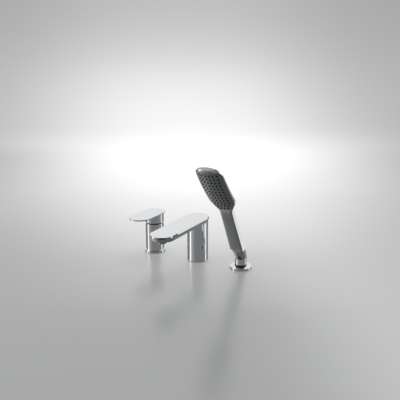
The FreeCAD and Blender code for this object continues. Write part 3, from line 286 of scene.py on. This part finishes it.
# Floor of painted paper that runs up into a sweep behind: satin in front, so that it mirrors the
# columns softly, and matt where it starts to rise. Lengths are metres behind the spout
floorLook = {"colour": "#8b8c8d", "ior": 1.9,
             "matt": {"roughness": ("Y", 0.3, 1.4, 0.25, 0.75)},
             "grainScale": 900.0, "grain": 0.02, "grainDepth": 0.0002,
             "front": -3.0, "reach": 1.6, "sweep": 0.9, "sweepSteps": 24, "height": 2.2, "halfWidth": 2.6}


def makeFloor():
    # Profile across the view direction: flat, then a quarter circle, then a wall
    turn = math.radians(view["round"])
    away = Vector((-math.sin(turn), math.cos(turn), 0))
    side = Vector((away.y, -away.x, 0))
    profile = [(floorLook["front"], 0.0), (floorLook["reach"], 0.0)]
    for i in range(1, floorLook["sweepSteps"] + 1):
        bend = math.radians(90 * i / floorLook["sweepSteps"])
        profile.append((floorLook["reach"] + floorLook["sweep"] * math.sin(bend),
                        floorLook["sweep"] * (1 - math.cos(bend))))
    profile.append((floorLook["reach"] + floorLook["sweep"], floorLook["height"]))
    points = []
    for along, up in profile:
        for half in (-floorLook["halfWidth"], floorLook["halfWidth"]):
            points.append(tuple(away * along + side * half + Vector((0, 0, up))))
    faces = [(2 * i, 2 * i + 1, 2 * i + 3, 2 * i + 2) for i in range(len(profile) - 1)]
    mesh = bpy.data.meshes.new("floor")
    mesh.from_pydata(points, [], faces)
    for face in mesh.polygons:
        face.use_smooth = True
    material, tree = newMaterial("paintedPaperSweep")
    parts = addTurned(tree, "Object", -view["round"])
    matt = addSoftSteps(tree, floorLook["matt"], parts)
    place = addNode(tree, "ShaderNodeTexCoord")
    grain = addNode(tree, "ShaderNodeTexNoise", {"Scale": floorLook["grainScale"], "Detail": 2.0},
                    {"Vector": place.outputs["Object"]})
    bump = addNode(tree, "ShaderNodeBump",
                   {"Strength": floorLook["grain"], "Distance": floorLook["grainDepth"]},
                   {"Height": grain.outputs["Fac"]})
    shader = addNode(tree, "ShaderNodeBsdfPrincipled",
                     {"Base Color": linearColour(floorLook["colour"]), "IOR": floorLook["ior"],
                      "Emission Color": linearColour(glow["colour"])},
                     {"Roughness": matt["roughness"], "Normal": bump.outputs[0],
                      "Emission Strength": makeGlow(tree, parts)})
    closeMaterial(tree, shader)
    mesh.materials.append(material)
    floor = addThing("floor", mesh)
    floor.visible_glossy = False


makeFloor()

# Room by direction, X toward the camera, Y to its right and Z up. Below eye level it is grey; above,
# it goes from bright behind the object to dark in front. The strip lights stand at so many degrees
# round from the camera: (middle, width, strength, whether it grows brighter higher up)
room = {"grey": 0.22,
        "upper": ((-1.0, 0.93), (-0.6, 0.92), (-0.2, 0.56), (0.3, 0.15), (0.75, 0.13), (1.0, 0.13)),
        "strips": ((-88, 9, 1.2, True), (-72, 26, 0.22, False),
                   (99, 7, 1.1, False), (118, 20, 0.12, False)),
        "groundDark": 0.12, "groundPale": 0.55, "groundFrom": -0.2, "groundTo": -0.9, "groundLean": 0.5,
        "cameraDark": 0.9,
        "steps": {"stripFoot": ("Z", -0.62, -0.42, 0.0, 1.0), "stripTop": ("Z", 0.75, 0.55, 0.0, 1.0),
                  "stripGrowth": ("Z", 0.2, 0.33, 1.0, 3.5),
                  "steepDown": ("Z", -0.33, -0.55, 0.0, 1.0), "eyeLevel": ("Z", -0.12, 0.06, 0.0, 1.0),
                  "ceiling": ("Z", 0.76, 0.94, 1.0, 0.06),
                  "cameraSide": ("X", 0.8, 0.92, 0.0, 1.0), "cameraFoot": ("Z", -0.06, 0.02, 0.0, 1.0),
                  "cameraTop": ("Z", 0.22, 0.15, 0.0, 1.0)}}


def makeRoom():
    world = bpy.data.worlds.new("room")
    world.use_nodes = True
    tree = world.node_tree
    tree.nodes.clear()
    parts = addTurned(tree, "Generated", 90 - view["round"])
    steps = addSoftSteps(tree, room["steps"], parts)
    # Straight down the floor is dark in front and to the right, pale behind and to the left
    lean = addNode(tree, "ShaderNodeMath", {"operation": "MULTIPLY_ADD", 1: room["groundLean"]},
                   {0: parts["Y"], 2: parts["X"]})
    ground = addNode(tree, "ShaderNodeMapRange",
                     {"From Min": room["groundFrom"], "From Max": room["groundTo"],
                      "To Min": room["groundDark"], "To Max": room["groundPale"]},
                     {"Value": lean.outputs[0]})
    under = addNode(tree, "ShaderNodeMix", {"data_type": "FLOAT", 2: room["grey"]},
                    {0: steps["steepDown"], 3: ground.outputs[0]})
    total = addNode(tree, "ShaderNodeMix", {"data_type": "FLOAT"},
                    {0: steps["eyeLevel"], 2: under.outputs[0],
                     3: addCurve(tree, room["upper"], parts["X"])})
    # The strips stand on the floor and end below the ceiling
    angle = addNode(tree, "ShaderNodeMath", {"operation": "ARCTAN2"}, {0: parts["Y"], 1: parts["X"]})
    degrees = addNode(tree, "ShaderNodeMath", {"operation": "DEGREES"}, {0: angle.outputs[0]})
    for middle, width, strength, grows in room["strips"]:
        offset = addNode(tree, "ShaderNodeMath", {"operation": "SUBTRACT", 1: middle},
                         {0: degrees.outputs[0]})
        widths = addNode(tree, "ShaderNodeMath", {"operation": "DIVIDE", 1: width},
                         {0: offset.outputs[0]})
        factors = [addBell(tree, widths.outputs[0]), steps["stripFoot"], steps["stripTop"]]
        if grows:
            factors.append(steps["stripGrowth"])
        total = addNode(tree, "ShaderNodeMath", {"operation": "MULTIPLY_ADD", 1: strength},
                        {0: addProduct(tree, factors), 2: total.outputs[0]})
    # In reflections only: a dark ceiling, and the dark camera just above eye level
    spot = addProduct(tree, [steps["cameraSide"], steps["cameraFoot"], steps["cameraTop"]])
    around = addNode(tree, "ShaderNodeMath",
                     {"operation": "MULTIPLY_ADD", 1: -room["cameraDark"], 2: 1.0}, {0: spot})
    path = addNode(tree, "ShaderNodeLightPath")
    shade = addNode(tree, "ShaderNodeMix", {"data_type": "FLOAT", 2: 1.0},
                    {0: path.outputs["Is Glossy Ray"],
                     3: addProduct(tree, [around.outputs[0], steps["ceiling"]])})
    light = addNode(tree, "ShaderNodeBackground", {"Color": (1, 1, 1, 1)},
                    {"Strength": addProduct(tree, [total.outputs[0], shade.outputs[0]])})
    addNode(tree, "ShaderNodeOutputWorld", links={"Surface": light.outputs[0]})
    scene.world = world


makeRoom()

# White reflector board behind and to the right, seen only as a reflection: it lights up the flat
# right side of the grip and the band along the blade. Corners as metres across and up in its plane
board = {"turnDegrees": 60.9, "distance": 0.17, "strength": 0.95,
         "cloudScale": 12.0, "cloud": 0.05,
         "corners": ((0.015, 0.062), (0.115, 0.062), (0.115, -0.004), (0.125, -0.012), (0.160, -0.008),
                     (0.225, 0.040), (0.225, 0.095), (0.170, 0.115), (0.110, 0.125), (0.100, 0.140),
                     (0.015, 0.140))}


def makeBoard():
    turn = math.radians(board["turnDegrees"])
    ahead = Vector((math.cos(turn), math.sin(turn), 0))
    across = Vector((math.sin(turn), -math.cos(turn), 0))
    points = [tuple(ahead * board["distance"] + across * side + Vector((0, 0, up)))
              for side, up in board["corners"]]
    mesh = bpy.data.meshes.new("reflectorBoard")
    mesh.from_pydata(points, [], [tuple(range(len(points)))])
    material, tree = newMaterial("whiteReflectorBoard")
    place = addNode(tree, "ShaderNodeTexCoord")
    cloud = addNode(tree, "ShaderNodeTexNoise", {"Scale": board["cloudScale"], "Detail": 1.0},
                    {"Vector": place.outputs["Object"]})
    level = addNode(tree, "ShaderNodeMapRange",
                    {"To Min": board["strength"] * (1 - board["cloud"]),
                     "To Max": board["strength"] * (1 + board["cloud"])},
                    {"Value": cloud.outputs["Fac"]})
    closeMaterial(tree, addNode(tree, "ShaderNodeEmission", links={"Strength": level.outputs[0]}))
    mesh.materials.append(material)
    thing = addThing("reflectorBoard", mesh)
    thing.visible_camera = False
    thing.visible_diffuse = False
    thing.visible_shadow = False


makeBoard()

lamps = (
    {"name": "overhead", "place": (-0.3, 0.3, 1.9), "aim": (0, 0, 0), "size": 1.6, "power": 16},
    {"name": "frontFill", "place": (1.4, -1.6, 1.3), "aim": (0, 0, 0.1), "size": 1.2, "power": 5},
)
for lamp in lamps:
    light = bpy.data.lights.new(lamp["name"], "AREA")
    light.shape = "SQUARE"
    light.size = lamp["size"]
    light.energy = lamp["power"]
    holder = addThing(lamp["name"], light)
    holder.location = lamp["place"]
    toward = Vector(lamp["aim"]) - Vector(lamp["place"])
    holder.rotation_euler = toward.to_track_quat("-Z", "Y").to_euler()
    holder.visible_glossy = False
print("studio lit")

scene.view_settings.view_transform = "Standard"
